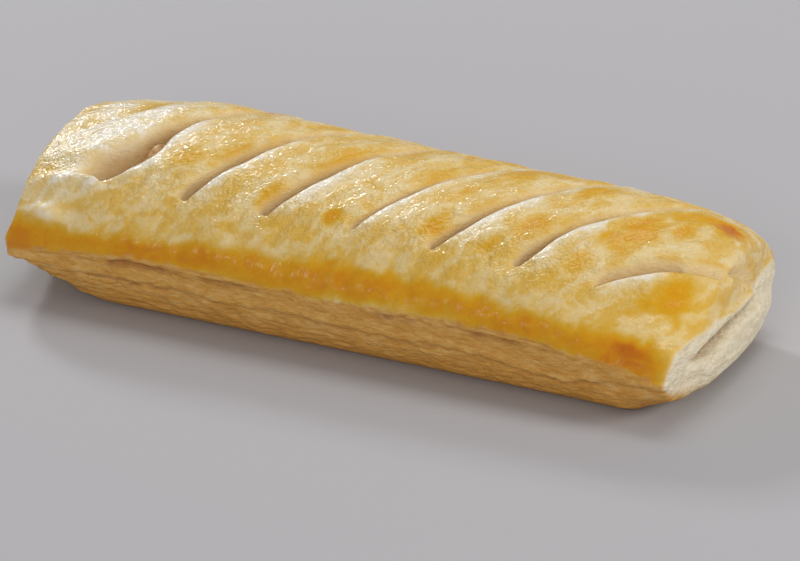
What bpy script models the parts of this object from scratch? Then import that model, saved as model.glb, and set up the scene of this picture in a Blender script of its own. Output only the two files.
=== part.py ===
"""Sausage roll: one folded sheet of puff pastry baked round a length of sausage meat.

Run with: blender --background --python part.py
Metres, +Z up. The roll lies on its flat base, its length along X, its sealed edge towards -Y and its
fold towards +Y. The origin is at the middle of the base. The sizes below are in millimetres.
"""
import math
from types import SimpleNamespace

import bmesh
import bpy
import numpy as np

MM = 0.001

# ---- The baked roll ----
LENGTH = 164.0            # over both end faces
SEALED_Y = -31.0          # front side, where the two edges of the sheet are sealed
FOLD_Y = 30.9             # back side, where the sheet folds over
CREST_Y = 5.0             # highest line of the top
CREST_Z = 34.1
CREST_FALL = 0.017        # the crest falls this much for each millimetre towards the right end
LEFT_CREST_Z = 30.6       # it comes down to this at the left end
RIGHT_CREST_Z = 28.6      # and to this at the right end
END_CREST_SHIFT = 3.0     # the crest moves back by this at the right end
SEAM_Z = 14.0             # height of the widest line of the sealed side
LEFT_SEAM_Z = 11.8        # the same at the left corner
RIGHT_SEAM_Z = 10.4       # and at the right corner
FOLD_Z = 14.8             # height of the widest line of the fold
LEFT_FOLD_Z = 14.0
RIGHT_FOLD_Z = 16.6
END_NARROWING = 1.4       # the fold draws in by this at the ends
BASE_FRONT_Y = -22.0      # the flat base runs from here
BASE_BACK_Y = 13.5        # to here
RIGHT_BASE_TUCK = 3.0     # the base is narrower by this at the back of the right end
BASE_LIFT = 2.4           # the base curls up by this at the ends
WALL_LEAN = 1.6           # the sealed side leans in by this at the bottom
TAPER = 38.0              # length of each end's taper
END_CURL = 13.0           # length over which the base curls up
END_BOW = 1.3             # the middle of an end stands proud of its corners
BOW_LENGTH = 25.0         # that swell of the ends fades out over this length
END_SWELL = 2.6           # how far an end face rounds out from its edge to its slit
FACE_NARROWING = 0.62     # width of an end face at its slit, as a share of its width at its edge
FACE_SHIFT = -1.0         # and its middle there
FACE_EARLY = 0.15         # share of that narrowing which comes before the face rounds out
SLIT_LEFT_OPEN = 0.015    # share of an end face's height that is left at its slit
SEAM_GROOVE = 0.7         # depth of the line between the top and bottom layers of the sealed side
SEAM_TURN = 0.93          # place of that line on its way up the sealed side
SEAM_WIDTH = 0.05
WALL_POWER = 3.2          # how square each quarter of the section is: 2 is an ellipse
FRONT_POWER = 1.84
LEFT_FRONT_POWER = 2.15
RIGHT_FRONT_POWER = 1.54
BACK_POWER = 2.08
UNDER_POWER = 2.3

# ---- The slashes cut across the top before baking ----
SLASH_STARTS_X = (-64.2, -40.2, -20.2, -0.2, 19.8, 39.2)      # where six of them start, all at this Y
SLASH_START_Y = -20.5
SLASH_SLOPE = 0.62        # how far a slash runs along X for each millimetre across Y
SLASH_BEND = 0.0022       # and how much it leans over on its way
FIRST_SHIFT = 6.3         # the first one swings out to the right by this
FIRST_SHIFT_Y = -14.5     # there
FIRST_SHIFT_LENGTH = 9.0  # over this length on both sides
SLASH_DELAYS = (0.6, -0.6, -0.4, 0.6, 0.2, 0.6)               # some start a little further back
SLASH_RUNS = (25.0, 26.0, 27.0, 21.0, 24.0, 24.0)            # how far each one runs across
SLASH_WIDTHS = (2.6, 2.2, 2.0, 1.1, 1.9, 1.8, 1.2)           # how wide each one gapes
LAST_SLASH_START = (57.5, -19.7)                             # the last one is straight
LAST_SLASH_END = (77.5, -2.7)                                # and ends at the end of the roll
LAST_RIB_PITCH = 20.0     # distance to the next slash that would follow the last one
SLASH_FLOOR = 0.45        # width of a slash at its bottom, as a share of its width at the top
SLASH_END_DEPTH = 1.6     # depth of a slash where it starts and ends
SLASH_BITE = 1.5          # how far a slash reaches into the space of the meat
SLASH_FLOOR_POWER = 0.6   # how quickly a slash gets deep
SLASH_WIDTH_POWER = 0.7   # and wide
SLASH_END_WIDTH = 0.12    # its width where it starts and ends
CUT_ABOVE = 6.0           # the cutting wedges reach this far above the top
LAST_SLASH_DEPTH = 3.4    # the last slash stays within the pastry
SLASH_RIB = 1.9           # the pastry swells by this between two slashes
RIB_BALANCE = 0.62        # share of that swelling which is a dip at the slashes
RIB_SKEW = 0.72           # a rib rises quickly and falls slowly
RIB_POWER = 0.8
RIB_END_RAMP = 11.0       # the ribs fade out over this length at both ends
RIB_UPPER_RAMP = 8.0      # and over this height above the seam
RIB_FRONT_Y = -24.0       # the ribs rise from here
RIB_FRONT_RAMP = 9.0
RIB_BACK_Y = 27.0         # and fade out here, over the fold
RIB_BACK_RAMP = 16.0

# ---- The sausage meat ----
MEAT_Y = -1.0
MEAT_Z = 18.6
MEAT_HALF_WIDTH = 15.5
MEAT_HALF_HEIGHT = 8.4
MEAT_END_Y = -2.5         # at its ends the pastry squeezes it flat
MEAT_END_Z = 12.6
MEAT_END_HALF_WIDTH = 15.7
MEAT_END_HALF_HEIGHT = 1.1
MEAT_PINCH = 17.0         # length over which the meat flattens
MEAT_RECESS = 1.9         # the meat ends this far inside the end faces
SLIT_RISE = 0.035         # the slit at each end rises towards the fold, per millimetre
GAP = 0.3                 # clearance between the pastry and the meat
SPACE_OVERRUN = 6.0       # the space for the meat is cut this far past the meat's ends

# ---- Fineness of the faceted solids ----
ROLL_STEPS = 54
CAP_RINGS = 3
MEAT_STEPS = 30
MEAT_SIDES = 20
SLASH_STEPS = 9
STATION_EVENNESS = 0.88   # the sections are this evenly spaced, the rest closer together at the ends

CORNER_X = LENGTH / 2.0 - END_SWELL - END_BOW     # the four corners of the roll


def smooth_step(x, start, end):
    """0 before start, 1 after end and an even S-shaped ramp between."""
    t = np.clip((x - start) / (end - start), 0.0, 1.0)
    return t * t * (3.0 - 2.0 * t)


def sizes_at(x):
    """The section's named heights and widths at x: even along the middle, tapered at both ends."""
    left = smooth_step(-x, CORNER_X - TAPER, CORNER_X) ** 1.3
    right = smooth_step(x, CORNER_X - TAPER, CORNER_X) ** 1.3
    middle_crest = CREST_Z - CREST_FALL * x
    return SimpleNamespace(
        crest_y=CREST_Y + END_CREST_SHIFT * right,
        crest_z=middle_crest + (LEFT_CREST_Z - middle_crest) * left + (RIGHT_CREST_Z - middle_crest) * right,
        seam_z=SEAM_Z + (LEFT_SEAM_Z - SEAM_Z) * left + (RIGHT_SEAM_Z - SEAM_Z) * right,
        fold_y=FOLD_Y - END_NARROWING * (left + right),
        fold_z=FOLD_Z + (LEFT_FOLD_Z - FOLD_Z) * left + (RIGHT_FOLD_Z - FOLD_Z) * right,
        base_back_y=BASE_BACK_Y - RIGHT_BASE_TUCK * right,
        front_power=FRONT_POWER + (LEFT_FRONT_POWER - FRONT_POWER) * left + (RIGHT_FRONT_POWER - FRONT_POWER) * right,
        lift=BASE_LIFT * smooth_step(np.abs(x), CORNER_X - END_CURL, CORNER_X) ** 2,
    )


def top_height(x, y):
    """Z of the plain top at x and y, from the same curves as the section's outline."""
    s = sizes_at(x)
    front = np.clip((s.crest_y - y) / (s.crest_y - SEALED_Y), 0.0, 1.0)
    back = np.clip((y - s.crest_y) / (s.fold_y - s.crest_y), 0.0, 1.0)
    front_z = s.seam_z + (s.crest_z - s.seam_z) * (1.0 - front ** s.front_power) ** (1.0 / s.front_power)
    back_z = s.fold_z + (s.crest_z - s.fold_z) * (1.0 - back ** BACK_POWER) ** (1.0 / BACK_POWER)
    return np.where(y < s.crest_y, front_z, back_z)


def lean(y):
    """How far along X a slash has run at y."""
    run = y - SLASH_START_Y
    return SLASH_SLOPE * run + SLASH_BEND * run * run


def slash_point(index, t):
    """X and Y of a slash at t from 0 to 1: they all lean alike, the first swings out, the last is straight."""
    if index == len(SLASH_STARTS_X):
        return [start + (end - start) * t for start, end in zip(LAST_SLASH_START, LAST_SLASH_END)]
    y = SLASH_START_Y + SLASH_DELAYS[index] + SLASH_RUNS[index] * t
    swing = FIRST_SHIFT * math.exp(-((y - FIRST_SHIFT_Y) / FIRST_SHIFT_LENGTH) ** 2) if index == 0 else 0.0
    return [SLASH_STARTS_X[index] + lean(y) + swing, y]


def rib_height(x, y, z):
    """Swelling between slashes: half a sine wave from each slash to the next, on the top only."""
    starts = SLASH_STARTS_X + (LAST_SLASH_START[0],)
    starts = (starts[0] - LAST_RIB_PITCH,) + starts + (starts[-1] + LAST_RIB_PITCH,)
    number = np.interp(x - lean(y), starts, range(len(starts)))
    share = number - np.floor(number)
    wave = np.sin(math.pi * share ** RIB_SKEW) ** RIB_POWER - RIB_BALANCE
    front = smooth_step(y, RIB_FRONT_Y, RIB_FRONT_Y + RIB_FRONT_RAMP)
    back = 1.0 - smooth_step(y, RIB_BACK_Y - RIB_BACK_RAMP, RIB_BACK_Y)
    along = 1.0 - smooth_step(np.abs(x), CORNER_X - RIB_END_RAMP, CORNER_X)
    upper = smooth_step(z, SEAM_Z, SEAM_Z + RIB_UPPER_RAMP)
    return SLASH_RIB * wave * front * back * along * upper


def quarter(t, power):
    """Rising and falling sides of a quarter of a superellipse at t from 0 to 1."""
    angle = np.clip(t, 0.0, 1.0) * math.pi / 2.0
    return np.sin(angle) ** (2.0 / power), np.cos(angle) ** (2.0 / power)


def outline(x, turn):
    """Y and Z of the plain outside at x, for turn from 0 to 5 round the section.

    Four quarter superellipses follow each other: up the sealed side, over the front of the top to the
    crest, down its back to the fold, and under the fold to the base. The flat base closes the ring.
    """
    s = sizes_at(x)
    rise, fall = quarter(turn, WALL_POWER)
    wall_y = BASE_FRONT_Y + (SEALED_Y - BASE_FRONT_Y) * rise + WALL_LEAN * fall
    wall_z = s.seam_z - (s.seam_z - s.lift) * fall
    rise, fall = quarter(turn - 1.0, s.front_power)
    front_y = s.crest_y + (SEALED_Y - s.crest_y) * fall
    front_z = s.seam_z + (s.crest_z - s.seam_z) * rise
    rise, fall = quarter(turn - 2.0, BACK_POWER)
    back_y = s.crest_y + (s.fold_y - s.crest_y) * rise
    back_z = s.fold_z + (s.crest_z - s.fold_z) * fall
    rise, fall = quarter(turn - 3.0, UNDER_POWER)
    under_y = s.base_back_y + (s.fold_y - s.base_back_y) * fall
    under_z = s.fold_z - (s.fold_z - s.lift) * rise
    base_y = s.base_back_y + (BASE_FRONT_Y + WALL_LEAN - s.base_back_y) * np.clip(turn - 4.0, 0.0, 1.0)

    part = [turn < 1.0, turn < 2.0, turn < 3.0, turn < 4.0]
    y = np.select(part, [wall_y, front_y, back_y, under_y], base_y)
    z = np.select(part, [wall_z, front_z, back_z, under_z], s.lift)
    return y, z


def skin(x, turn):
    """Points of the outside: the outline with its ribs, its seam line and its bowed ends."""
    y, z = outline(x, turn)
    top = (turn > 1.0) & (turn < 3.0)
    z = z + np.where(top, rib_height(x, y, z), 0.0)
    y = y + SEAM_GROOVE * np.exp(-((turn - SEAM_TURN) / SEAM_WIDTH) ** 2)
    bow = END_BOW * (1.0 - (y / SEALED_Y) ** 2) * smooth_step(np.abs(x), CORNER_X - BOW_LENGTH, CORNER_X)
    return np.stack([x + np.sign(x) * bow, y, z], axis=-1)


def slit_height(y, share):
    """Z of the meat's middle at y: level in the middle of the roll, sloping at its ends."""
    return MEAT_Z + (MEAT_END_Z - MEAT_Z) * share + SLIT_RISE * share * (y - MEAT_END_Y)


def end_cap(ring, side):
    """Rings that close an end: each draws in towards the slit's line as it rounds outwards."""
    rings = []
    for step in range(1, CAP_RINGS + 1):
        angle = math.pi / 2.0 * step / CAP_RINGS
        inward = 1.0 - math.cos(angle) * (1.0 - FACE_EARLY * step / CAP_RINGS)
        target_y = FACE_NARROWING * ring[:, 1] + FACE_SHIFT
        target_z = slit_height(target_y, 1.0)
        x = ring[:, 0] + side * END_SWELL * math.sin(angle)
        y = ring[:, 1] + (target_y - ring[:, 1]) * inward
        z = ring[:, 2] + (target_z - ring[:, 2]) * inward * (1.0 - SLIT_LEFT_OPEN)
        rings.append(np.stack([x, y, z], axis=-1))
    return rings


def roll_rings():
    """Rings of the outside, from the left end face to the right one."""
    turns = np.concatenate([
        np.linspace(0.0, 0.86, 5),
        [SEAM_TURN],
        np.linspace(1.0, 2.0, 13, endpoint=False),
        np.linspace(2.0, 3.0, 9, endpoint=False),
        np.linspace(3.0, 4.0, 6),
        [4.33, 4.67],
    ])
    spread = np.linspace(-1.0, 1.0, ROLL_STEPS + 1)
    stations = CORNER_X * (STATION_EVENNESS * spread + (1.0 - STATION_EVENNESS) * np.sin(spread * math.pi / 2.0))
    rings = [skin(np.full(turns.shape, x), turns) for x in stations]
    return end_cap(rings[0], -1)[::-1] + rings + end_cap(rings[-1], 1)


def meat_rings(extra, overrun):
    """Rings of the meat's ellipse, extra millimetres fatter and overrun longer at both ends."""
    angles = np.linspace(0.0, 2.0 * math.pi, MEAT_SIDES, endpoint=False)
    tip = LENGTH / 2.0 - MEAT_RECESS
    stations = tip * np.sin(np.linspace(-1.0, 1.0, MEAT_STEPS + 1) * math.pi / 2.0)
    if overrun:
        stations = np.concatenate([[-tip - overrun], stations, [tip + overrun]])
    rings = []
    for x in stations:
        share = smooth_step(abs(x), tip - MEAT_PINCH, tip)
        half_width = MEAT_HALF_WIDTH + (MEAT_END_HALF_WIDTH - MEAT_HALF_WIDTH) * share + extra
        half_height = MEAT_HALF_HEIGHT + (MEAT_END_HALF_HEIGHT - MEAT_HALF_HEIGHT) * share + extra
        y = MEAT_Y + (MEAT_END_Y - MEAT_Y) * share + half_width * np.cos(angles)
        z = slit_height(y, share) + half_height * np.sin(angles)
        rings.append(np.stack([np.full(angles.shape, x), y, z], axis=-1))
    return rings


def slash_rings(index):
    """Rings of the wedge that cuts a slash: wide at the top, narrow at its floor.

    The floor is shallow where the slash starts and ends, and deepest in the middle, where it opens the
    space of the meat.
    """
    last = index == len(SLASH_STARTS_X)
    rings = []
    for step in range(SLASH_STEPS + 1):
        t = step / SLASH_STEPS
        arch = max(math.sin(math.pi * t), 0.0)
        x, y = slash_point(index, t)
        next_x, next_y = slash_point(index, t + 0.01)
        slope = (next_x - x) / (next_y - y)
        across_x = 1.0 / math.hypot(1.0, slope)
        across_y = -slope * across_x
        surface = float(top_height(x, y))
        shallow = surface - SLASH_END_DEPTH
        deep = surface - LAST_SLASH_DEPTH if last else MEAT_Z + MEAT_HALF_HEIGHT - SLASH_BITE
        floor = shallow + (deep - shallow) * arch ** SLASH_FLOOR_POWER
        gape = 0.5 * (SLASH_WIDTHS[index] * arch ** SLASH_WIDTH_POWER + SLASH_END_WIDTH)
        narrow = gape * SLASH_FLOOR
        corners = ((-gape, surface + CUT_ABOVE), (gape, surface + CUT_ABOVE), (narrow, floor), (-narrow, floor))
        rings.append(np.array([[x + side * across_x, y + side * across_y, z] for side, z in corners]))
    return rings


def ring_mesh(name, rings):
    """A closed mesh through rings of equal size, its two ends filled."""
    count = len(rings[0])
    mesh = bpy.data.meshes.new(name)
    bm = bmesh.new()
    loops = [[bm.verts.new(MM * point) for point in ring] for ring in rings]
    for lower, upper in zip(loops[:-1], loops[1:]):
        for i in range(count):
            j = (i + 1) % count
            bm.faces.new((lower[i], lower[j], upper[j], upper[i]))
    ends = [bm.faces.new(loops[0][::-1]), bm.faces.new(loops[-1])]
    bmesh.ops.triangulate(bm, faces=ends)
    bmesh.ops.recalc_face_normals(bm, faces=bm.faces)
    bm.to_mesh(mesh)
    bm.free()
    return mesh


def food_material(name, colour, roughness):
    """A Principled material with a plain colour."""
    material = bpy.data.materials.new(name)
    material.use_nodes = True
    shader = material.node_tree.nodes["Principled BSDF"]
    shader.inputs["Base Color"].default_value = (*colour, 1.0)
    shader.inputs["Roughness"].default_value = roughness
    shader.inputs["Metallic"].default_value = 0.0
    return material


def new_object(name, mesh):
    """Link a mesh into the scene under its node's name."""
    piece = bpy.data.objects.new(name, mesh)
    bpy.context.scene.collection.objects.link(piece)
    return piece


def new_food(name, rings, material):
    """A visible, smoothly shaded piece of food through the given rings."""
    mesh = ring_mesh(name, rings)
    mesh.materials.append(material)
    mesh.shade_smooth()
    mesh.set_sharp_from_angle(angle=math.radians(40.0))
    return new_object(name, mesh)


def cut(piece, name, rings):
    """Cut the solid through the given rings out of a piece, with an exact Boolean."""
    tool = new_object(name, ring_mesh(name, rings))
    tool.hide_render = True
    tool.display_type = "WIRE"
    modifier = piece.modifiers.new(name, "BOOLEAN")
    modifier.operation = "DIFFERENCE"
    modifier.solver = "EXACT"
    modifier.object = tool


for old in list(bpy.data.objects):
    bpy.data.objects.remove(old, do_unlink=True)

# The pastry: one sheet, folded at the back, sealed along the front and open at both ends.
pastry = new_food("pastry", roll_rings(), food_material("baked_pastry", (0.62, 0.40, 0.14), 0.45))
cut(pastry, "meat_space", meat_rings(GAP, SPACE_OVERRUN))
for number in range(len(SLASH_WIDTHS)):
    cut(pastry, f"slash_{number + 1}", slash_rings(number))

# The sausage meat: one length that fills the space inside, squeezed flat at its two ends.
new_food("sausage_meat", meat_rings(0.0, 0.0), food_material("sausage_meat", (0.45, 0.26, 0.17), 0.6))
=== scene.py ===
"""Sausage roll: the looks of the baked pastry and of the sausage meat inside it."""
import math
from types import SimpleNamespace

import bpy
import numpy as np
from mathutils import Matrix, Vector


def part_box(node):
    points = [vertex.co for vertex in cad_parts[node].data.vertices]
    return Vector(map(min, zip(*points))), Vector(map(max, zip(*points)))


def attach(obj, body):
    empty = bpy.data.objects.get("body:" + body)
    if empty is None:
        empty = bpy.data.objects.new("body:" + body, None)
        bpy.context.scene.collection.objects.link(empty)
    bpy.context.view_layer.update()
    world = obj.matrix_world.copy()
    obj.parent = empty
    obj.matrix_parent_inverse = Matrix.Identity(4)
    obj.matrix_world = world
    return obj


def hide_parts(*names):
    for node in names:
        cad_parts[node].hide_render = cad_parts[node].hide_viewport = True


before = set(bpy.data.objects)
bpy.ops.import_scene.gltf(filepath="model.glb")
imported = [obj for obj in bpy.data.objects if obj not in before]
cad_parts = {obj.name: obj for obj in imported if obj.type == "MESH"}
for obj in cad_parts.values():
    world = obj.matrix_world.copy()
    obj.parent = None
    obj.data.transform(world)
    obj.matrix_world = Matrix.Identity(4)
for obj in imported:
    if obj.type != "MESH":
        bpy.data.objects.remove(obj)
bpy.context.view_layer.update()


# ======================================================================================================
# The pastry: one sheet of puff pastry, folded over at the back and pressed shut along the front, glazed
# with egg, slashed seven times across the top and baked. Its cut edges show their layers at the sealed
# side and at both ends. It is one closed mesh: the outside, two end faces and the space for the meat.
# ======================================================================================================

MM = 0.001
low, high = (np.array(corner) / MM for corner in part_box("pastry"))
SEALED_Y = low[1]                        # the pressed edge
FOLD_Y = high[1]                         # the fold
LEFT_BOW, RIGHT_BOW = 1.3, 2.0           # the middle of an end stands proud of its corners
END_SWELL = 2.6                          # an end face rounds out by this
CORNER_X = 78.1                          # the four corners
TAPER = 38.0                             # length of each end's taper
CREST_Y = 5.0                            # highest line of the top
CREST_Z = high[2] - 1.3
CREST_FALL = 0.017                       # fall of the crest towards the right end, per millimetre
LEFT_CREST_Z, RIGHT_CREST_Z = 31.4, 30.2
END_CREST_SHIFT = 3.0                    # the crest moves back by this at the right end
SEAM_Z, LEFT_SEAM_Z, RIGHT_SEAM_Z = 14.0, 11.8, 10.4
FOLD_Z, LEFT_FOLD_Z, RIGHT_FOLD_Z = 14.8, 14.0, 16.6
END_NARROWING = 1.4
BASE_FRONT_Y, BASE_BACK_Y = -22.0, 13.5
RIGHT_BASE_TUCK = 3.0                    # the base is narrower by this at the back of the right end
BASE_LIFT = 2.4                          # the base curls up by this at the ends
END_CURL = 13.0
WALL_LEAN = 1.6
WALL_POWER, BACK_POWER, UNDER_POWER = 3.2, 2.08, 2.3
FRONT_POWER, LEFT_FRONT_POWER, RIGHT_FRONT_POWER = 1.84, 2.15, 1.54
BOW_LENGTH = 25.0
LEFT_SHOULDER, RIGHT_SHOULDER = 1.2, 4.2   # the top rounds down by this over an end face
SHOULDER_LENGTH = 15.0
EAR_LIFT, EAR_LENGTH = 5.6, 22.0         # the front left corner is pinched and curls up
EAR_REACH = 0.9                          # and its tip stands out to the left
RIGHT_LIFT, RIGHT_LENGTH = 1.6, 12.0     # the front right corner curls up less
CORNER_DRAW, CORNER_DRAW_LENGTH = 1.8, 9.0    # and low down it draws in by this


def smooth_step(value, start, end):
    """0 before start, 1 after end and an even S-shaped ramp between."""
    t = np.clip((value - start) / (end - start), 0.0, 1.0)
    return t * t * (3.0 - 2.0 * t)


def bump(value, centre, width):
    """A bell curve: 1 at the centre, falling to 0.37 one width away from it."""
    return np.exp(-((value - centre) / width) ** 2)


def dough_noise(x, y, z, cell, seed):
    """Smooth noise from -1 to 1: random values on a lattice of cells, blended by S-curves inside each.

    cell is the size of a cell in millimetres, as one number or as one for each of x, y and z.
    """
    values = np.random.default_rng(seed).uniform(-1.0, 1.0, 8192)
    place = np.stack(np.broadcast_arrays(x, y, z), axis=-1) / np.array(cell) + 500.0
    corner = np.floor(place).astype(np.int64)
    part = place - corner
    part = part * part * (3.0 - 2.0 * part)
    total = 0.0
    for step in np.ndindex(2, 2, 2):
        near = corner + step
        pick = (near[..., 0] * 7919 + near[..., 1] * 104729 + near[..., 2] * 15485863) % 8192
        share = np.where(step, part, 1.0 - part).prod(axis=-1)
        total = total + values[pick] * share
    return total


def sizes_at(x):
    """The section's heights and widths at x: even along the middle, tapered at both ends."""
    left = smooth_step(-x, CORNER_X - TAPER, CORNER_X) ** 1.3
    right = smooth_step(x, CORNER_X - TAPER, CORNER_X) ** 1.3
    middle_crest = CREST_Z - CREST_FALL * x
    return SimpleNamespace(
        crest_y=CREST_Y + END_CREST_SHIFT * right,
        crest_z=middle_crest + (LEFT_CREST_Z - middle_crest) * left + (RIGHT_CREST_Z - middle_crest) * right,
        seam_z=SEAM_Z + (LEFT_SEAM_Z - SEAM_Z) * left + (RIGHT_SEAM_Z - SEAM_Z) * right,
        fold_y=FOLD_Y - END_NARROWING * (left + right),
        fold_z=FOLD_Z + (LEFT_FOLD_Z - FOLD_Z) * left + (RIGHT_FOLD_Z - FOLD_Z) * right,
        base_back_y=BASE_BACK_Y - RIGHT_BASE_TUCK * right,
        front_power=FRONT_POWER + (LEFT_FRONT_POWER - FRONT_POWER) * left + (RIGHT_FRONT_POWER - FRONT_POWER) * right,
        lift=BASE_LIFT * smooth_step(np.abs(x), CORNER_X - END_CURL, CORNER_X) ** 2,
    )


def quarter(t, power):
    """Rising and falling sides of a quarter of a superellipse at t from 0 to 1."""
    angle = np.clip(t, 0.0, 1.0) * math.pi / 2.0
    return np.sin(angle) ** (2.0 / power), np.cos(angle) ** (2.0 / power)


def outline(x, turn):
    """Y and Z of the plain section at x, for turn from 0 to 5 round it.

    Four quarter superellipses follow each other: up the sealed side, over the front of the top to the
    crest, down its back to the fold, and under the fold to the base. The flat base closes the ring.
    """
    s = sizes_at(x)
    rise, fall = quarter(turn, WALL_POWER)
    wall_y = BASE_FRONT_Y + (SEALED_Y - BASE_FRONT_Y) * rise + WALL_LEAN * fall
    wall_z = s.seam_z - (s.seam_z - s.lift) * fall
    rise, fall = quarter(turn - 1.0, s.front_power)
    front_y = s.crest_y + (SEALED_Y - s.crest_y) * fall
    front_z = s.seam_z + (s.crest_z - s.seam_z) * rise
    rise, fall = quarter(turn - 2.0, BACK_POWER)
    back_y = s.crest_y + (s.fold_y - s.crest_y) * rise
    back_z = s.fold_z + (s.crest_z - s.fold_z) * fall
    rise, fall = quarter(turn - 3.0, UNDER_POWER)
    under_y = s.base_back_y + (s.fold_y - s.base_back_y) * fall
    under_z = s.fold_z - (s.fold_z - s.lift) * rise
    base_y = s.base_back_y + (BASE_FRONT_Y + WALL_LEAN - s.base_back_y) * np.clip(turn - 4.0, 0.0, 1.0)
    part = [turn < 1.0, turn < 2.0, turn < 3.0, turn < 4.0]
    y = np.select(part, [wall_y, front_y, back_y, under_y], base_y)
    z = np.select(part, [wall_z, front_z, back_z, under_z], s.lift)
    return y, z


# ---- Where the slashes run: across the top from front left to back right, the last one to the end ----

SLASH_STARTS_X = (-64.2, -40.2, -20.2, -0.2, 19.8, 39.2)
SLASH_START_Y = -20.5
SLASH_SLOPE = 0.62
SLASH_BEND = 0.0022                      # they lean a little more towards the back
FIRST_SHIFT, FIRST_SHIFT_Y, FIRST_SHIFT_LENGTH = 6.3, -14.5, 9.0     # the first one swings out to the right
LAST_START = (57.5, -19.7)
LAST_END = (77.5, -2.7)


def lean(y):
    """How far along X a slash has run at y."""
    run = y - SLASH_START_Y
    return SLASH_SLOPE * run + SLASH_BEND * run * run


def first_swing(start, y):
    """How far the first slash and the dough beside it swing out to the right at y."""
    near = smooth_step(start, -CORNER_X, SLASH_STARTS_X[0]) * (1.0 - smooth_step(start, SLASH_STARTS_X[0], -46.0))
    return FIRST_SHIFT * bump(y, FIRST_SHIFT_Y, FIRST_SHIFT_LENGTH) * near


def slash_place(x, y):
    """The start that a slash through x, y would have, and the number of the slash at its left."""
    start = x - lean(y)
    start = start - first_swing(start - FIRST_SHIFT * bump(y, FIRST_SHIFT_Y, FIRST_SHIFT_LENGTH), y)
    number = np.interp(start, SLASH_STARTS_X + (LAST_START[0],), np.arange(7.0))
    before = (start - SLASH_STARTS_X[0]) / 20.0
    after = 6.0 + (start - LAST_START[0]) / 20.0
    number = np.where(start < SLASH_STARTS_X[0], before, number)
    return start, np.where(start > LAST_START[0], after, number)


SHEAR_BACK_Y = 12.5                      # the mesh lines follow the slashes up to here


def mesh_x(u, y):
    """X of the mesh line u at y: lines follow the slashes in the middle and are straight at the ends."""
    along = np.where(u < 0.0, smooth_step(u, -CORNER_X, SLASH_STARTS_X[0] - 3.0),
                     np.clip((CORNER_X - u) / (CORNER_X - SLASH_STARTS_X[-1] - 3.0), 0.0, 1.0))
    return u + along * lean(np.clip(y, SLASH_START_Y, SHEAR_BACK_Y)) + first_swing(u, y)


# Each slash: how far it gapes open, how deep, and how wide its rolled left wall is, in millimetres, and
# between which shares of its length it is open down to the meat.
SLASHES = (
    dict(delay=-0.4, run=27.5, gape=1.8, depth=6.6, wall=4.5, hole=(0.26, 0.74)),
    dict(delay=-0.6, run=26.0, gape=0.6, depth=6.2, wall=4.7, hole=(0.26, 0.74)),
    dict(delay=-0.4, run=27.0, gape=0.5, depth=6.0, wall=4.5, hole=(0.26, 0.74)),
    dict(delay=0.6, run=21.0, gape=0.1, depth=1.9, wall=2.3, hole=None),
    dict(delay=0.2, run=24.0, gape=0.45, depth=6.0, wall=3.6, hole=(0.26, 0.74)),
    dict(delay=0.6, run=24.0, gape=0.4, depth=5.8, wall=3.3, hole=(0.26, 0.74)),
)
CREASE_DEPTH = 1.3                       # beyond its open part a slash goes on as a crease
CREASE_END_Y = 29.0
LEFT_ROLL = 1.8                          # how late the left wall turns down
LIP_HEIGHT = 0.8
LIP_PLACE, LIP_NEAR, LIP_FAR = 1.3, 0.8, 2.2
RIGHT_WALL = 0.6
SHADE_SPREAD = 0.80                       # how early the painted shade, partly moister dough, starts down the wall


def trench(across, along, gape, depth, wall, crease):
    """Shape of a slash at a distance across it: its depth, its share of bare dough, the painted shade down its wall,
    its lip.

    across is measured from the line where the right lip falls in, negative towards the left. The left
    wall rolls down in a growing curve, the floor is as wide as the slash gapes, and the right wall
    stands steep. along runs from 0 at the start of the open part to 1 at its end.
    """
    arch = np.sqrt(1.0 - np.abs(2.0 * np.clip(along, 0.0, 1.0) - 1.0) ** 4)
    gape = gape * arch
    wall = wall * (0.45 + 0.55 * np.maximum(arch, crease))
    sunk = np.maximum(depth * arch ** 1.2, CREASE_DEPTH * crease)
    left = np.clip(1.0 + (across + gape) / wall, 0.0, 1.0)
    right = 1.0 - smooth_step(across, -0.15, RIGHT_WALL)
    fall = left ** LEFT_ROLL * right
    bare = smooth_step(left, 0.05, 0.6) * (1.0 - smooth_step(across, 0.0, RIGHT_WALL))
    bare = bare * np.clip(3.0 * arch + crease, 0.0, 1.0)
    lip = LIP_HEIGHT * bump(across, LIP_PLACE, np.where(across < LIP_PLACE, LIP_NEAR, LIP_FAR))
    lip = lip * np.maximum(arch, 0.6 * crease)
    # the third value is painted shade down the wall, partly the moister dough there
    return sunk * fall, bare, fall ** SHADE_SPREAD * np.maximum(arch, 0.35 * crease), lip


def slashes(x, y):
    """All seven slashes at x, y: how far the top is cut, its bare dough, the painted shade down its walls and its lips.
    """
    start, _ = slash_place(x, y)
    square = 1.0 / np.hypot(1.0, SLASH_SLOPE)
    cut, bare, deep_shade, lip = np.zeros((4,) + np.shape(x))
    for number, slash in enumerate(SLASHES):
        wander = 0.35 * dough_noise(x, y, 0.0, 7.0, 40 + number) + 0.12 * dough_noise(x, y, 0.0, 2.2, 50 + number)
        across = (start - SLASH_STARTS_X[number] + wander) * square
        run = y - SLASH_START_Y - slash["delay"]
        crease = smooth_step(run, 0.5 * slash["run"], slash["run"])
        crease = crease * (1.0 - smooth_step(y, 14.0, CREASE_END_Y))
        one = trench(across, run / slash["run"], slash["gape"], slash["depth"], slash["wall"], crease)
        cut, bare, deep_shade, lip = np.maximum(cut, one[0]), np.maximum(bare, one[1]), np.maximum(deep_shade, one[2]), lip + one[3]
    along, across = last_slash(x, y)
    one = trench(across, 1.4 * along, 0.4, 3.6, 3.6, 0.9 * smooth_step(along, 0.35, 0.8))
    return np.maximum(cut, one[0]), np.maximum(bare, one[1]), np.maximum(deep_shade, 0.7 * one[2]), lip + one[3]


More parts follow.
